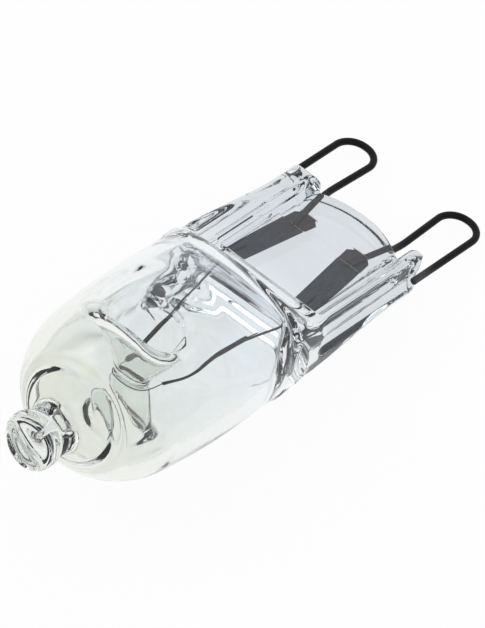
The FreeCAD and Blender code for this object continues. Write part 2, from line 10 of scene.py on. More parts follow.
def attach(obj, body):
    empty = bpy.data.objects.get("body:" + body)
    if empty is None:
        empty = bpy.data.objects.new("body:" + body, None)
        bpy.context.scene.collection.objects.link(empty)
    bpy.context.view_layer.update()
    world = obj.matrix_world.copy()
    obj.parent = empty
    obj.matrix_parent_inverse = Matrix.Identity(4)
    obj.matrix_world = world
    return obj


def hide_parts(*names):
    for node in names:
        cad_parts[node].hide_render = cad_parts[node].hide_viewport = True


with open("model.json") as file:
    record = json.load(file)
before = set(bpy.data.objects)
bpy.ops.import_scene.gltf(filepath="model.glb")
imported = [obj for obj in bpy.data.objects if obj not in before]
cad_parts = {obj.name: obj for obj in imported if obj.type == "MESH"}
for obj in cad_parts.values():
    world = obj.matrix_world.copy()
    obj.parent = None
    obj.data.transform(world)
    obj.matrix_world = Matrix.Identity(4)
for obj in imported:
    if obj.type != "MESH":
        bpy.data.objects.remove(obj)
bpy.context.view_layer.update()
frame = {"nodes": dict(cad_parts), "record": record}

# Lengths here are in mm in the lamp's own frame: X along the axis from the exhaust tip to the contact
# loops, Y across the pinch, Z square to it. The frame's mounts say how that frame lies. The glass is
# described by signed distances, below 0 inside, and a blend says how far two of them run together.
MM = 0.001
LOOP_REACH = 40.283
LOOP_MIDDLE = 4.5
LOOP_HEIGHT = 0.2

# Blown bulb: a round dome, then a barrel curve that the jaws close towards the pinch
BELLY_PLACE = 15.0
BELLY_RADIUS = 6.5
DOME_RADIUS = 6.2
BARREL_CURVE = 58.0
WALL = 0.95
FLANK = 5.9
PRESS_START = 17.6
PRESS_END = 22.4
JAW_CLEARANCE = 0.3
SPACE_CLEARANCE = 0.5
SLIT_HALF = 0.4
SLIT_WIDE = 4.0

# Waves left in the blown glass, which stop before the pinch: each surface's depth, and a turn that keeps
# the two patterns apart
OUTER_UNEVEN = 0.018
INNER_UNEVEN = 0.036
OUTER_TURN = 0.4
INNER_TURN = 2.1
WAVES_STOP = (17.0, 20.0)

# Exhaust tip: bead, collar and waist, a little out of round, and the closed bore of the tube inside
BEAD_MIDDLE = 1.35
BEAD_RADIUS = 2.08
BEAD_ROUND = 0.58
BEAD_FLAT = 0.2
COLLAR_MIDDLE = 2.95
COLLAR_RADIUS = 1.85
COLLAR_ROUND = 0.5
COLLAR_FLAT = 0.25
WAIST_RADIUS = 1.5
WAIST_END = 6.0
LOBES = 0.03
OVAL = 0.025
PIT_RADIUS = 0.7
PIT_PLACE = 0.2
PIT_SPREAD = 0.6
BORE_END = 1.9
BORE_START = 4.6
BORE_RADII = (0.12, 0.8)
BORE_OVERLAP = 1.0

# Ring of glass inside the dome, where the exhaust tube was joined
JOINT_PLACE = 5.35
JOINT_RADIUS = 3.5
JOINT_ROUND = 0.42

# Dimples: half sizes at the bridge, and how they grow towards the mouth (straight share, curved share)
DIMPLE_PLACE = 10.9
DIMPLE_WALL = 0.5
BRIDGE_HALF = 0.25
FOOT_WIDTH = 0.35
FOOT_LENGTH = 0.8
UPPER_WIDTH = (0.5, 1.4)
UPPER_LENGTH = (2.0, 1.1)
LOWER_WIDTH = 1.3
LOWER_LENGTH = 1.7
DIMPLE_SLOPE = 0.8

# Pinch: the pressed tube, its web and its rails
PINCH_HALF = 5.9
PINCH_START = 20.0
SHOULDER_END = 23.0
TUBE_BULGE = 0.48
RAIL_HALF = 2.35
RAIL_END = 33.933
WEB_START = 23.033
WEB_END = 34.333
WEB_ARCH = 6.8
WEB_HALF = 1.3
WEB_WIDE = 4.5
WEB_OVERLAP = 0.4
STEP_PLACES = (29.333, 31.033)
STEP_DEPTH = 0.16
STEP_EDGE = 0.05
CREST = 5.45
BROAD_FOOT = 3.3
BROAD_CREST = 3.9
BROAD_LEVEL = 0.7
END_HEIGHT = 0.8
END_ROUND = 1.1
END_CLEARANCE = 5
END_CLEAR = (28.0, 31.0)

# Bevels of the rails' outer edges: start, end, depth
BROAD_BEVEL = (21.5, 32.0, 1.05)
SLIM_BEVEL = (30.0, 33.5, 0.6)

# Channels in the rails' outer sides: start, end, lower edge, upper edge, depth
SLOT = (22.833, 30.533, 1.0, 2.2, 0.3)
GROOVE = (22.933, 40.0, -1.15, 0.8, 0.4)

# Round marks that the jaws leave in the rails' outer sides: place and height
PRESS_MARKS = ((32.1, 1.35), (33.5, 0.6))
MARK_RADIUS = 0.64
MARK_STAND = 0.5

# Grid lines that the glass is meshed on: runs of start, end and step
OUTER_ALONG = ((0.2, 4.4, 0.15), (4.4, 20.0, 0.26), (20.0, 34.7, 0.14))
OUTER_ACROSS = ((-6.9, 6.9, 0.17),)
INNER_ALONG = ((1.6, 5.0, 0.15), (5.0, 17.0, 0.27), (17.0, 23.1, 0.17))
INNER_ACROSS = ((-6.0, 6.0, 0.2),)
INNER_UP = ((-6.0, -1.2, 0.22), (-1.2, 1.2, 0.12), (1.2, 6.0, 0.22))
OUTER_STEP = 0.17
INNER_STEP = 0.2
SLOPE_STEP = 1e-4
LEAST_SLOPE = 0.05
RELAX_ROUNDS = 3

# Filament: coil sizes, and the middle line of its leads, limbs and hook
COIL_RADIUS = 0.13
COIL_WIRE = 0.038
COIL_PITCH = 0.095
STEPS_A_TURN = 12
WIRE_SIDES = 6
LEFT_LEAD = ((20.3, 2.6, 0.06), (19.35, 2.45, 0.06))
LEFT_LIMB = ((19.35, 2.45, 0.06), (16.0, 1.85, 0.02), (12.5, 1.2, 0.0))
HOOK = ((12.5, 1.2, 0.0), (11.4, 1.2, 0.0), (10.35, 1.15, 0.0), (9.95, 0.5, 0.0), (9.95, -0.6, 0.0),
        (10.4, -1.35, 0.0), (11.2, -1.65, 0.0), (12.0, -1.75, 0.0))
RIGHT_LIMB = ((12.0, -1.75, 0.0), (13.8, -1.95, -0.04), (16.25, -2.15, -0.02), (19.35, -2.45, 0.06))
RIGHT_LEAD = ((19.35, -2.45, 0.06), (20.3, -2.6, 0.06))
LEAD_STEP = 0.1
HOOK_STEP = 0.08
CURVE_STEPS = 24

# Stretches of the axis that the wires' and the foils' colours run along; on the wires, from painted
# highlight to dark oxide
WIRE_SPAN = (29.0, 37.0)
FOIL_SPAN = (23.8, 31.6)

# Size of the grain in each finish. The rolling lines are drawn coarser than the real ones, so that they
# show.
GLASS_CLOUD = 4.0
GLASS_SKIN = 1.6
OXIDE_GRAIN = 0.25
ROLLING_LINE = 0.18
STAIN_CLOUD = 0.9
DIE_LINE = 0.06

# Studio: the floor's own light, its half side and its drop below the lamp, both in metres
FLOOR_GLOW = 0.95
FLOOR_HALF = 1.5
FLOOR_DROP = 1e-5

# Room light by height: white low down, where it is the backdrop, and grey above
ROOM_LIGHT = [(0.0, (1.0, 1.0, 1.0, 1.0)), (0.24, (1.0, 1.0, 1.0, 1.0)), (0.36, (0.62, 0.62, 0.64, 1.0)),
              (1.0, (0.75, 0.75, 0.77, 1.0))]

# Soft boxes: where each stands, the cosine of its half angle, and its strength
SOFT_BOXES = (((-0.5, 0.75, 0.9), 0.93, 1.2), ((0.8, 0.3, 0.75), 0.96, 1.0), ((-0.3, -0.8, 0.6), 0.96, 0.8))
SOFT_EDGE = (0.03, 0.04)

# Camera, from the photograph: its eye's place in the lamp's own frame, its three axes and its lens
EYE = (-273.69, -172.46, 305.32)
VIEW_AXES = ((0.6368, -0.7458, 0.1956), (-0.424, -0.5506, -0.7191), (0.644, 0.375, -0.6669))
LENS_PIXELS = 7042.8
PHOTO_HEIGHT = 628
SENSOR = 36.0


def lamp_frame():
    """The lamp's axes and tip in the row frame, read from the record's mounts."""
    mounts = {mount["name"]: mount for mount in frame["record"]["mounts"]}
    along = np.array(mounts["left_contact"]["axis"], float)
    up = np.array(mounts["pinch_face"]["axis"], float)
    across = np.cross(up, along)
    contact = np.array(mounts["left_contact"]["pos_m"], float)
    tip = contact - MM * (LOOP_REACH * along + LOOP_MIDDLE * across + LOOP_HEIGHT * up)
    return np.array([along, across, up]), tip


AXES, TIP = lamp_frame()


def to_row(points):
    """Points of the lamp's own frame, in mm, as points of the row frame, in metres."""
    return np.asarray(points, float) @ AXES * MM + TIP


def near(a, b, blend):
    """The lesser of two distances, run together over the blend like softened glass."""
    overlap = np.maximum(blend - np.abs(a - b), 0) / blend
    return np.minimum(a, b) - overlap * overlap * blend / 4


def far(a, b, blend):
    """The greater of two distances, run together over the blend."""
    return -near(-a, -b, blend)


def ramp(value, start, end):
    """0 before start, 1 after end, smooth between."""
    share = np.clip((value - start) / (end - start), 0, 1)
    return share * share * (3 - 2 * share)


def fade(value, start, end):
    """1 before start, 0 after end, smooth between."""
    return ramp(-value, -end, -start)


def uneven(x, y, z, turn):
    """How far hand-worked glass falls short of its true form, 0 to 1: waves from 7 to 18 mm long."""
    slow = np.sin(0.45 * x + 0.4 * y + turn) * np.sin(0.35 * z + 0.5 * y + 2 * turn)
    quick = np.sin(0.9 * x - 0.8 * z + turn) * np.sin(0.9 * y + 0.7 * turn)
    return 0.5 + 0.35 * slow + 0.15 * quick


def blown_side(x, r, inset):
    """Distance to the blown bulb: a round dome that runs into a long barrel curve."""
    curve = BARREL_CURVE - inset
    dome = DOME_RADIUS - inset
    sink = BELLY_RADIUS - BARREL_CURVE
    dome_x = BELLY_PLACE - math.sqrt((curve - dome) ** 2 - sink ** 2)
    side = (x - BELLY_PLACE) * -sink - (r - sink) * (dome_x - BELLY_PLACE)
    round_end = np.hypot(x - dome_x, r) - dome
    barrel = np.hypot(x - BELLY_PLACE, r - sink) - curve
    return np.where(side < 0, round_end, barrel)


def press_half(x, top, low):
    """Half the thickness that the jaws leave along the tube."""
    return top + (low - top) * ramp(x, PRESS_START, PRESS_END)


def ring(x, r, middle, radius, round_edge, half_length):
    """Distance to a melted ring of glass round the axis."""
    return np.hypot(np.maximum(np.abs(x - middle) - half_length, 0),
                    np.maximum(r - radius + round_edge, 0)) - round_edge


def exhaust_tip(x, y, z):
    """The sealed tip: a melted bead with a pit, a waist and a collar. Three twisting lobes and a slight
    oval put them out of round, as a flame does."""
    turn = np.arctan2(z, y)
    r = np.hypot(y, z) * (1 + LOBES * np.cos(3 * turn + 1.0 + 0.8 * x) + OVAL * np.cos(2 * turn - 0.6))
    bead = ring(x, r, BEAD_MIDDLE, BEAD_RADIUS, BEAD_ROUND, BEAD_FLAT)
    collar = ring(x, r, COLLAR_MIDDLE, COLLAR_RADIUS, COLLAR_ROUND, COLLAR_FLAT)
    waist = far(r - WAIST_RADIUS, np.maximum(BEAD_MIDDLE - x, x - WAIST_END), blend=0.2)
    shape = near(near(bead, waist, blend=0.4), collar, blend=0.3)
    return far(shape, PIT_RADIUS - np.hypot(x - PIT_PLACE, r * PIT_SPREAD), blend=0.4)


def dimple(x, y, z, grow):
    """The dimples pressed in from above and below: blunt at the bridge, and wider and softer at the
    mouth, the upper one most. Grown by a wall, they are the glass that the space inside goes round."""
    height = np.abs(z)
    share = np.clip((height - BRIDGE_HALF) / (BELLY_RADIUS - BRIDGE_HALF), 0, 2)
    upper_width = UPPER_WIDTH[0] * share + UPPER_WIDTH[1] * share ** 2
    upper_length = UPPER_LENGTH[0] * share + UPPER_LENGTH[1] * share ** 2
    half_width = FOOT_WIDTH + np.where(z > 0, upper_width, LOWER_WIDTH * share) + grow
    half_length = FOOT_LENGTH + np.where(z > 0, upper_length, LOWER_LENGTH * share) + grow
    out = np.hypot(x - DIMPLE_PLACE, np.maximum(np.abs(y) - (half_length - half_width), 0)) - half_width
    return far(out * DIMPLE_SLOPE, BRIDGE_HALF - grow - height, blend=0.5)


def channel(x, side, z, area):
    """Distance to a hollow channel along a rail's side, with round ends."""
    start, end, low, high, depth = area
    half = (high - low) / 2
    radius = (half ** 2 + depth ** 2) / (2 * depth)
    past = np.maximum(np.maximum(start + half - x, x - end + half), 0)
    return np.hypot(np.hypot(past, z - (low + high) / 2), side - PINCH_HALF - radius + depth) - radius


def rail_inner(side, height, foot, crest):
    """Distance to the space inside a rail: upright beside the web, sloped above it."""
    slant = math.hypot(crest - foot, RAIL_HALF - WEB_HALF)
    rise = np.maximum(height - WEB_HALF, 0)
    return ((side - foot) * (RAIL_HALF - WEB_HALF) - rise * (crest - foot)) / slant


def rail_blanks(x, y, z, body):
    """The pressed tube without its middle: a broad and a slim rail on each face, as two jaws leave them."""
    side, height = np.abs(y), np.abs(z)
    gap = far(WEB_START - x, rail_inner(side, height, WEB_WIDE, CREST), blend=0.3)
    slim = far(body, -gap, blend=0.2)
    wide_gap = far(WEB_START - x, rail_inner(side, height, BROAD_FOOT, BROAD_CREST), blend=0.3)
    other_half = np.maximum(BROAD_LEVEL - height, -y * np.sign(z))
    broad = far(far(body, -wide_gap, blend=0.2), other_half, blend=0.1)
    return np.minimum(slim, broad)


def rail_bevel(x, y, z, shape):
    """Take the rails' outer edges off, more and more towards the loops."""
    cuts = [depth * ramp(x, start, end) for start, end, depth in (SLIM_BEVEL, BROAD_BEVEL)]
    cut = np.where(y * z > 0, cuts[1], cuts[0])
    bevel = (np.abs(y) - PINCH_HALF + np.abs(z) - RAIL_HALF + cut) / math.sqrt(2)
    return far(shape, np.where(x > WEB_START, bevel, -1.0), blend=0.1 + 0.5 * cut)


def rail_end(x, y, z, shape):
    """Round the rails off at their end: the outer corner, as seen from above, and the crown, as seen from
    the side. Well away from the end, nothing is cut."""
    away = END_CLEARANCE * fade(x, *END_CLEAR)
    corner = np.hypot(np.maximum(x - RAIL_END + END_ROUND, 0),
                      np.maximum(np.abs(y) - PINCH_HALF + END_ROUND, 0)) - END_ROUND
    top = RAIL_HALF - END_HEIGHT
    crown = np.hypot(np.maximum(x - RAIL_END + top, 0), np.maximum(z - END_HEIGHT, 0)) - top
    shape = far(far(shape, corner - away, blend=0.1), crown - away, blend=0.15)
    return far(shape, x - RAIL_END, blend=0.3)


def rails(x, y, z, body):
    """The thick rails beside the web, with a slot, a groove and the jaws' marks in their outer sides."""
    side = np.abs(y)
    turned = -z * np.sign(y)
    shape = rail_blanks(x, y, z, body)
    shape = far(shape, -channel(x, side, turned, SLOT), blend=0.1)
    shape = far(shape, -channel(x, side, turned, GROOVE), blend=0.12)
    shape = rail_bevel(x, y, z, shape)
    for place, level in PRESS_MARKS:
        mark = np.hypot(np.hypot(x - place, z - level), side - PINCH_HALF - MARK_STAND) - MARK_RADIUS
        shape = far(shape, -mark, blend=0.1)
    return rail_end(x, y, z, shape)


def web(x, y, z):
    """The thin web, with two shallow steps across it and an arched end."""
    steps = sum(ramp(x, place - STEP_EDGE, place + STEP_EDGE) for place in STEP_PLACES)
    slab = far(np.abs(z) - (WEB_HALF - STEP_DEPTH * steps), np.abs(y) - WEB_WIDE - WEB_OVERLAP, blend=0.1)
    end = np.hypot(x - (WEB_END - WEB_ARCH), y) - WEB_ARCH
    return far(far(slab, end, blend=0.35), PINCH_START - x, blend=0.2)


def envelope_outside(x, y, z):
    """Distance to the outer surface of the quartz envelope."""
    r = np.hypot(y, z)
    bulb = far(blown_side(x, r, 0), y - FLANK, blend=0.4)
    tube = far(np.abs(y) - PINCH_HALF, r - PINCH_HALF - TUBE_BULGE, blend=0.1)
    tube = far(tube, PINCH_START - x, blend=0.2)
    body = near(near(bulb, tube, blend=0.6), exhaust_tip(x, y, z), blend=0.45)
    jaws = np.abs(z) - press_half(x, BELLY_RADIUS + JAW_CLEARANCE, RAIL_HALF)
    body = far(body, jaws, blend=0.25 + 0.6 * fade(x, PINCH_START, SHOULDER_END))
    shape = near(rails(x, y, z, body), web(x, y, z), blend=0.3)
    shape = far(shape, -dimple(x, y, z, 0), blend=1.8)
    return shape + OUTER_UNEVEN * uneven(x, y, z, OUTER_TURN) * fade(x, *WAVES_STOP)


def envelope_inside(x, y, z):
    """Distance to the space inside the bulb, which the jaws close towards the pinch."""
    r = np.hypot(y, z)
    open_half = BELLY_RADIUS + SPACE_CLEARANCE - WALL
    bulb = far(blown_side(x, r, WALL), x - PRESS_END, blend=1.2)
    bulb = far(bulb, np.abs(z) - press_half(x, open_half, SLIT_HALF), blend=1.0)
    bulb = far(bulb, np.abs(y) - press_half(x, open_half, SLIT_WIDE), blend=1.0)
    bulb = far(bulb, JOINT_ROUND - np.hypot(x - JOINT_PLACE, r - JOINT_RADIUS), blend=0.4)
    widening = (BORE_RADII[1] - BORE_RADII[0]) * ramp(x, BORE_END, BORE_START)
    stretch = np.maximum(BORE_END - x, x - BORE_START - BORE_OVERLAP)
    bore = far(r - BORE_RADII[0] - widening, stretch, blend=0.2)
    shape = far(near(bulb, bore, blend=0.5), -dimple(x, y, z, DIMPLE_WALL), blend=1.6)
    return shape + INNER_UNEVEN * uneven(x, y, z, INNER_TURN) * fade(x, *WAVES_STOP)


def slope_of(field, points):
    """Distance and slope of a field at points."""
    small = SLOPE_STEP
    x, y, z = points.T
    here = field(x, y, z)
    slope = np.stack([
        field(x + small, y, z) - field(x - small, y, z),
        field(x, y + small, z) - field(x, y - small, z),
        field(x, y, z + small) - field(x, y, z - small)], axis=1) / (2 * small)
    return here, slope


def settle(field, points, longest, rounds=4):
    """Move points onto the field's zero surface."""
    for _ in range(rounds):
        here, slope = slope_of(field, points)
        move = slope * (here / np.maximum((slope ** 2).sum(1), LEAST_SLOPE))[:, None]
        length = np.linalg.norm(move, axis=1)
        points = points - move * np.minimum(1, longest / np.maximum(length, 1e-12))[:, None]
    return points


def spaced(*runs):
    """Grid lines: runs of (start, end, step), each from where the last one ends."""
    lines = [np.arange(start, end - step / 2, step) for start, end, step in runs]
    return np.concatenate(lines + [[runs[-1][1]]])


def crossed_cells(inside):
    """The grid's cells with corners both inside and outside."""
    size = [n - 1 for n in inside.shape]
    total = np.zeros(size, int)
    for i, j, k in itertools.product((0, 1), repeat=3):
        total += inside[i:i + size[0], j:j + size[1], k:k + size[2]]
    return (total > 0) & (total < 8)


def faces_across(inside, cell):
    """A face round each grid edge that crosses the surface, between the points of its four cells."""
    faces = []
    for axis in range(3):
        other = [a for a in range(3) if a != axis]
        ahead = np.take(inside, range(1, inside.shape[axis]), axis)
        behind = np.take(inside, range(inside.shape[axis] - 1), axis)
        for leaving in (True, False):
            edge = np.argwhere(behind & ~ahead if leaving else ahead & ~behind)
            edge = edge[(edge[:, other[0]] > 0) & (edge[:, other[1]] > 0)]
            corners = []
            for back in ((1, 1), (0, 1), (0, 0), (1, 0)):
                at = edge.copy()
                at[:, other[0]] -= back[0]
                at[:, other[1]] -= back[1]
                corners.append(cell[tuple(at.T)])
            corners = np.stack(corners, axis=1)
            faces.append(corners if leaving == (axis != 1) else corners[:, ::-1])
    return np.concatenate(faces)


def surface(field, lines, step):
    """Mesh a field's zero surface: a point in each cell that it crosses, and a face across each edge."""
    inside = field(*np.meshgrid(*lines, indexing="ij")) < 0
    crossed = crossed_cells(inside)
    cell = np.zeros(crossed.shape, int)
    cell[crossed] = np.arange(crossed.sum())
    places = np.argwhere(crossed)
    middles = [(line[1:] + line[:-1]) / 2 for line in lines]
    points = np.stack([middles[a][places[:, a]] for a in range(3)], axis=1)
    faces = faces_across(inside, cell)
    points = settle(field, points, step)
    for _ in range(RELAX_ROUNDS):
        points = settle(field, relaxed(points, faces), step, 2)
    return settle(field, points, step), faces


def relaxed(points, faces):
    """Each point moved halfway to the middle of its neighbours."""
    total = np.zeros_like(points)
    count = np.zeros(len(points))
    for a in range(4):
        for b in ((a + 1) % 4, (a + 3) % 4):
            np.add.at(total, faces[:, a], points[faces[:, b]])
            np.add.at(count, faces[:, a], 1)
    return (points + total / np.maximum(count, 1)[:, None]) / 2


def new_piece(name, points, faces, material):
    """A mesh object in the scene, from points in the row frame."""
    mesh = bpy.data.meshes.new(name)
    mesh.from_pydata(points, [], faces)
    mesh.materials.append(material)
    piece = bpy.data.objects.new(name, mesh)
    bpy.context.scene.collection.objects.link(piece)
    return piece


def pipe(path, radius, sides):
    """A round wire along close points, closed at both ends: rings square to the path, without twist."""
    path = np.asarray(path, float)
    ahead = np.gradient(path, axis=0)
    ahead /= np.linalg.norm(ahead, axis=1)[:, None]
    across = np.cross(ahead[0], (0.0, 0.0, 1.0))
    angles = np.arange(sides) * 2 * math.pi / sides
    points = []
    for place, way in zip(path, ahead):
        across = across - way * (across @ way)
        across /= np.linalg.norm(across)
        up = np.cross(way, across)
        points += [place + radius * (math.cos(a) * across + math.sin(a) * up) for a in angles]
    faces = []
    for ring_start in range(0, (len(path) - 1) * sides, sides):
        for k in range(sides):
            here = ring_start + k
            beside = ring_start + (k + 1) % sides
            faces.append((here, beside, beside + sides, here + sides))
    faces += [tuple(range(sides - 1, -1, -1)), tuple(range(len(points) - sides, len(points)))]
    return points, faces


def along(points, step):
    """Even steps on a smooth line through points, and the line's length."""
    points = np.asarray(points, float)
    ends = np.concatenate([[2 * points[0] - points[1]], points, [2 * points[-1] - points[-2]]])
    line = []
    for p0, p1, p2, p3 in zip(ends, ends[1:], ends[2:], ends[3:]):
        for t in np.arange(0, 1, 1 / CURVE_STEPS):
            line.append(0.5 * (2 * p1 + (p2 - p0) * t + (2 * p0 - 5 * p1 + 4 * p2 - p3) * t * t
                               + (3 * p1 - p0 - 3 * p2 + p3) * t ** 3))
    line = np.array(line + [points[-1]])
    run = np.concatenate([[0], np.cumsum(np.linalg.norm(np.diff(line, axis=0), axis=1))])
    even = np.linspace(0, run[-1], max(int(run[-1] / step), 2))
    return np.stack([np.interp(even, run, line[:, a]) for a in range(3)], axis=1), run[-1]


def coiled(points, radius, pitch, steps_a_turn):
    """A helix round a smooth line through points, which shrinks onto the line at both ends."""
    line, length = along(points, pitch / steps_a_turn)
    way = np.gradient(line, axis=0)
    way /= np.linalg.norm(way, axis=1)[:, None]
    across = np.cross(way, (0.0, 0.0, 1.0))
    across /= np.linalg.norm(across, axis=1)[:, None]
    up = np.cross(way, across)
    run = np.linspace(0, length, len(line))
    angle = 2 * math.pi * run / pitch
    grow = (radius * np.clip(np.minimum(run, length - run) / pitch, 0, 1))[:, None]
    return line + grow * (np.cos(angle)[:, None] * across + np.sin(angle)[:, None] * up)


def add_node(tree, kind, links=(), values=(), **settings):
    """Add a node with its settings, links (input, source node, output) and values (input, value)."""
    node = tree.nodes.new(kind)
    for key, value in settings.items():
        setattr(node, key, value)
    for target, value in values:
        node.inputs[target].default_value = value
    for target, source, output in links:
        tree.links.new(source.outputs[output], node.inputs[target])
    return node


def linear(hex_colour):
    """A colour written as sRGB hex, as linear light."""
    parts = [int(hex_colour[i:i + 2], 16) / 255 for i in (1, 3, 5)]
    return tuple(c / 12.92 if c <= 0.04045 else ((c + 0.055) / 1.055) ** 2.4 for c in parts) + (1.0,)


def scale_of(millimetres):
    """A pattern's scale from the real size of its grain."""
    return 1 / (millimetres * MM)


def ramp_stops(node, stops):
    """Set a colour ramp's stops: (place, colour)."""
    elements = node.color_ramp.elements
    while len(elements) < len(stops):
        elements.new(0.5)
    for element, (place, colour) in zip(elements, stops):
        element.position = place
        element.color = colour


def new_material(name):
    """An empty node material."""
    material = bpy.data.materials.new(name)
    material.use_nodes = True
    material.node_tree.nodes.clear()
    return material, material.node_tree


def place_along(tree, start, end):
    """The object coordinates, and how far along the lamp's axis a point lies: 0 at start and 1 at end,
    which are given in mm from the tip."""
    place = add_node(tree, "ShaderNodeTexCoord")
    moved = add_node(tree, "ShaderNodeVectorMath", [(0, place, "Object")], [(1, tuple(TIP))],
                     operation="SUBTRACT")
    reach = add_node(tree, "ShaderNodeVectorMath", [(0, moved, "Vector")], [(1, tuple(AXES[0]))],
                     operation="DOT_PRODUCT")
    share = add_node(tree, "ShaderNodeMapRange", [("Value", reach, "Value")],
                     [("From Min", start * MM), ("From Max", end * MM)])
    return place, share


def quartz_glass():
    """Fused quartz, blown, pressed and fire polished: clear with a smooth skin. Its base colour is painted
    shade:
    light grey for the floor's shade under the lamp seen through the glass, faintly straw towards the dome,
    and greyer at the thick pinch."""
    material, tree = new_material("fused_quartz_fire_polished")
    place, share = place_along(tree, 0.0, RAIL_END)
    # Painted shade: the grey of these stops stands in for the floor's shade under the lamp, seen through
    # the glass, deepest at the pinch
    tint_and_shade = add_node(tree, "ShaderNodeValToRGB", [("Fac", share, "Result")])
    ramp_stops(tint_and_shade, [(0.0, linear("#F0F2F4")), (0.14, linear("#EFF1EB")), (0.3, linear("#F2F5F3")),
                      (0.5, linear("#F3F7FA")), (0.66, linear("#EDF1F5")), (0.75, linear("#D9DFE5"))])
    cloud = add_node(tree, "ShaderNodeTexNoise", [("Vector", place, "Object")],
                     [("Scale", scale_of(GLASS_CLOUD)), ("Detail", 3.0)])
    patches = add_node(tree, "ShaderNodeValToRGB", [("Fac", cloud, "Fac")])
    ramp_stops(patches, [(0.45, linear("#FFFFFF")), (0.7, linear("#FAFAF2"))])
    colour = add_node(tree, "ShaderNodeMix", [("A", tint_and_shade, "Color"), ("B", patches, "Color")],
                      data_type="RGBA", blend_type="MULTIPLY")
    skin = add_node(tree, "ShaderNodeTexNoise", [("Vector", place, "Object")],
                    [("Scale", scale_of(GLASS_SKIN)), ("Detail", 1.0)])
    wave = add_node(tree, "ShaderNodeBump", [("Height", skin, "Fac")],
                    [("Strength", 0.25), ("Distance", 0.02 * MM)])
    shader = add_node(tree, "ShaderNodeBsdfPrincipled",
                      [("Base Color", colour, "Result"), ("Normal", wave, "Normal")],
                      [("Roughness", 0.0), ("IOR", 1.458), ("Transmission Weight", 1.0)])
    add_node(tree, "ShaderNodeOutputMaterial", [("Surface", shader, "BSDF")])
    return material


def contact_wire():
    """Molybdenum wire with a dark scale from the pinching heat: nearly black and dull at the loops. Towards
    the glass it is painted lighter grey, a painted highlight for the light that the flattened wire catches
    there."""
    material, tree = new_material("oxidised_molybdenum_wire")
    place, share = place_along(tree, *WIRE_SPAN)
    # Painted highlight: the lighter greys towards the glass stand in for light on the flattened wire; the
    # near black at the loops is oxide
    colour = add_node(tree, "ShaderNodeValToRGB", [("Fac", share, "Result")])
    ramp_stops(colour, [(0.0, linear("#5A5C61")), (0.55, linear("#4E4E52")), (0.72, linear("#19181B")),
                        (0.9, linear("#0B0A0C"))])
    scale = add_node(tree, "ShaderNodeTexNoise", [("Vector", place, "Object")],
                     [("Scale", scale_of(OXIDE_GRAIN)), ("Detail", 4.0)])
    mottle = add_node(tree, "ShaderNodeValToRGB", [("Fac", scale, "Fac")])
    ramp_stops(mottle, [(0.35, linear("#B9B4B2")), (0.65, linear("#FFFFFF"))])
    mixed = add_node(tree, "ShaderNodeMix", [("A", colour, "Color"), ("B", mottle, "Color")],
                     [("Factor", 0.7)], data_type="RGBA", blend_type="MULTIPLY")
    rough = add_node(tree, "ShaderNodeMapRange", [("Value", scale, "Fac")],
                     [("To Min", 0.38), ("To Max", 0.6)])
    bump = add_node(tree, "ShaderNodeBump", [("Height", scale, "Fac")],
                    [("Strength", 0.4), ("Distance", 0.01 * MM)])
    shader = add_node(tree, "ShaderNodeBsdfPrincipled",
                      [("Base Color", mixed, "Result"), ("Roughness", rough, "Result"),
                       ("Normal", bump, "Normal")],
                      [("Metallic", 0.35), ("Specular IOR Level", 0.25)])
    add_node(tree, "ShaderNodeOutputMaterial", [("Surface", shader, "BSDF")])
    return material


def foil_metal():
    """Molybdenum foil, rolled and etched: dull mid grey with fine rolling lines and a brown heat stain
    towards the loops."""
    material, tree = new_material("rolled_molybdenum_foil")
    place, share = place_along(tree, *FOIL_SPAN)
    stretched = add_node(tree, "ShaderNodeMapping", [("Vector", place, "Object")],
                         [("Scale", (0.12, 1.0, 1.0))])
    lines = add_node(tree, "ShaderNodeTexNoise", [("Vector", stretched, "Vector")],
                     [("Scale", scale_of(ROLLING_LINE)), ("Detail", 3.0)])
    grey = add_node(tree, "ShaderNodeValToRGB", [("Fac", lines, "Fac")])
    ramp_stops(grey, [(0.3, linear("#40454C")), (0.7, linear("#575C64"))])
    cloud = add_node(tree, "ShaderNodeTexNoise", [("Vector", place, "Object")],
                     [("Scale", scale_of(STAIN_CLOUD)), ("Detail", 4.0)])
    near_loops = add_node(tree, "ShaderNodeMath", [(0, share, "Result"), (1, cloud, "Fac")],
                          operation="MULTIPLY")
    stain = add_node(tree, "ShaderNodeMapRange", [("Value", near_loops, "Value")],
                     [("From Min", 0.3), ("From Max", 0.55), ("To Max", 0.6)])
    colour = add_node(tree, "ShaderNodeMix", [("Factor", stain, "Result"), ("A", grey, "Color")],
                      [("B", linear("#6A5048"))], data_type="RGBA")
    bump = add_node(tree, "ShaderNodeBump", [("Height", lines, "Fac")],
                    [("Strength", 0.3), ("Distance", 0.008 * MM)])
    shader = add_node(tree, "ShaderNodeBsdfPrincipled",
                      [("Base Color", colour, "Result"), ("Normal", bump, "Normal")],
                      [("Roughness", 0.5), ("Metallic", 0.5)])
    add_node(tree, "ShaderNodeOutputMaterial", [("Surface", shader, "BSDF")])
    return material


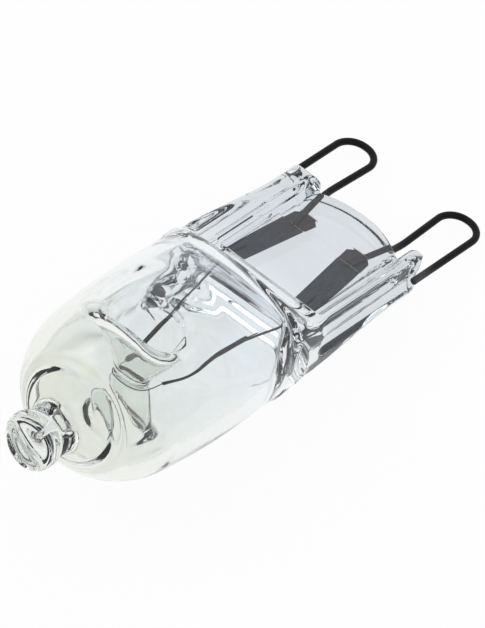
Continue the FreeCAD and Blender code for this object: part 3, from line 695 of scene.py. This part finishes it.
def tungsten_wire():
    """Tungsten wire, drawn: dark grey with a satin sheen and faint die lines along it."""
    material, tree = new_material("drawn_tungsten_wire")
    place = add_node(tree, "ShaderNodeTexCoord")
    stretched = add_node(tree, "ShaderNodeMapping", [("Vector", place, "Object")],
                         [("Scale", (0.2, 1.0, 1.0))])
    lines = add_node(tree, "ShaderNodeTexNoise", [("Vector", stretched, "Vector")],
                     [("Scale", scale_of(DIE_LINE)), ("Detail", 2.0)])
    grey = add_node(tree, "ShaderNodeValToRGB", [("Fac", lines, "Fac")])
    ramp_stops(grey, [(0.3, linear("#2B2B2E")), (0.7, linear("#48484C"))])
    shader = add_node(tree, "ShaderNodeBsdfPrincipled", [("Base Color", grey, "Color")],
                      [("Roughness", 0.42), ("Metallic", 0.8)])
    add_node(tree, "ShaderNodeOutputMaterial", [("Surface", shader, "BSDF")])
    return material


def set_material(node_name, material):
    """Give a CAD node its finish."""
    node = frame["nodes"][node_name]
    node.data.materials.clear()
    node.data.materials.append(material)
    node.data.shade_smooth()


def quartz_envelope():
    """The glass in one piece: its outer surface and the surface of the space inside."""
    across = spaced(*OUTER_ACROSS)
    outside, outside_faces = surface(envelope_outside, [spaced(*OUTER_ALONG), across, across], OUTER_STEP)
    inner_lines = [spaced(*INNER_ALONG), spaced(*INNER_ACROSS), spaced(*INNER_UP)]
    inside, inside_faces = surface(envelope_inside, inner_lines, INNER_STEP)
    points = np.concatenate([outside, inside])
    faces = np.concatenate([outside_faces, inside_faces[:, ::-1] + len(outside)])
    piece = new_piece("quartz_glass", to_row(points).tolist(), faces.tolist(), quartz_glass())
    piece.data.shade_smooth()
    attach(piece, "root")
    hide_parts("quartz_envelope")


def filament(material):
    """One tungsten wire: straight lead-ins, two coiled limbs and a plain hook round the glass bridge."""
    start, _ = along(LEFT_LEAD, LEAD_STEP)
    left = coiled(LEFT_LIMB, COIL_RADIUS, COIL_PITCH, STEPS_A_TURN)
    hook, _ = along(HOOK, HOOK_STEP)
    right = coiled(RIGHT_LIMB, COIL_RADIUS, COIL_PITCH, STEPS_A_TURN)
    finish, _ = along(RIGHT_LEAD, LEAD_STEP)
    path = np.concatenate([start[:-1], left, hook[1:-1], right, finish[1:]])
    points, faces = pipe(path, COIL_WIRE, WIRE_SIDES)
    piece = new_piece("filament_coil", to_row(points).tolist(), faces, material)
    piece.data.shade_smooth()
    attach(piece, "root")
    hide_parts("filament")


def floor():
    """A white floor that keeps the lamp's shadow and is plain white to the eye, also through the glass."""
    material, tree = new_material("white_ground")
    rays = add_node(tree, "ShaderNodeLightPath")
    seen = add_node(tree, "ShaderNodeMath", [(0, rays, "Is Camera Ray"), (1, rays, "Is Glossy Ray")],
                    operation="MAXIMUM")
    seen = add_node(tree, "ShaderNodeMath", [(0, seen, "Value"), (1, rays, "Is Transmission Ray")],
                    operation="MAXIMUM")
    share = add_node(tree, "ShaderNodeMath", [(0, seen, "Value")], [(1, FLOOR_GLOW)], operation="MULTIPLY")
    paint = add_node(tree, "ShaderNodeBsdfDiffuse", values=[("Color", linear("#F8F8F8"))])
    white = add_node(tree, "ShaderNodeEmission")
    mixed = add_node(tree, "ShaderNodeMixShader",
                     [("Fac", share, "Value"), (1, paint, "BSDF"), (2, white, "Emission")])
    add_node(tree, "ShaderNodeOutputMaterial", [("Surface", mixed, "Shader")])
    half = FLOOR_HALF
    corners = [(x, y, -FLOOR_DROP) for x, y in ((-half, -half), (half, -half), (half, half), (-half, half))]
    ground = new_piece("ground", corners, [(0, 1, 2, 3)], material)


def room():
    """The light: a white backdrop low down all round, and a grey room with soft boxes above it."""
    world = bpy.data.worlds.new("studio")
    bpy.context.scene.world = world
    world.use_nodes = True
    tree = world.node_tree
    tree.nodes.clear()
    place = add_node(tree, "ShaderNodeTexCoord")
    split = add_node(tree, "ShaderNodeSeparateXYZ", [("Vector", place, "Generated")])
    total = add_node(tree, "ShaderNodeValToRGB", [("Fac", split, "Z")])
    ramp_stops(total, ROOM_LIGHT)
    output = "Color"
    for aim, edge, strength in SOFT_BOXES:
        towards = Vector(aim).normalized()
        facing = add_node(tree, "ShaderNodeVectorMath", [(0, place, "Generated")], [(1, tuple(towards))],
                          operation="DOT_PRODUCT")
        lit = add_node(tree, "ShaderNodeMapRange", [("Value", facing, "Value")],
                       [("From Min", edge - SOFT_EDGE[0]), ("From Max", edge + SOFT_EDGE[1]),
                        ("To Max", strength)])
        box = add_node(tree, "ShaderNodeCombineColor", [(part, lit, "Result") for part in range(3)])
        total = add_node(tree, "ShaderNodeMix", [("A", total, output), ("B", box, "Color")],
                         [("Factor", 1.0)], data_type="RGBA", blend_type="ADD")
        output = "Result"
    light = add_node(tree, "ShaderNodeBackground", [("Color", total, output)])
    add_node(tree, "ShaderNodeOutputWorld", [("Surface", light, "Background")])


def camera():
    """The photograph's camera."""
    data = bpy.data.cameras.new("camera")
    data.sensor_width = SENSOR
    data.lens = LENS_PIXELS * SENSOR / PHOTO_HEIGHT
    eye = to_row([EYE])[0]
    right, down, ahead = np.array(VIEW_AXES) @ AXES
    matrix = Matrix.Identity(4)
    for column, way in enumerate((right, -down, -ahead, eye)):
        for row in range(3):
            matrix[row][column] = way[row]
    item = bpy.data.objects.new("camera", data)
    item.matrix_world = matrix
    bpy.context.scene.collection.objects.link(item)
    bpy.context.scene.camera = item


quartz_envelope()
loop_finish = contact_wire()
foil_finish = foil_metal()
wire_finish = tungsten_wire()
for hand in ("left", "right"):
    set_material(f"contact_loop_{hand}", loop_finish)
    set_material(f"foil_{hand}", foil_finish)
    set_material(f"inner_lead_{hand}", wire_finish)
filament(wire_finish)
floor()
room()
camera()

scene = bpy.context.scene
scene.view_settings.view_transform = "Standard"
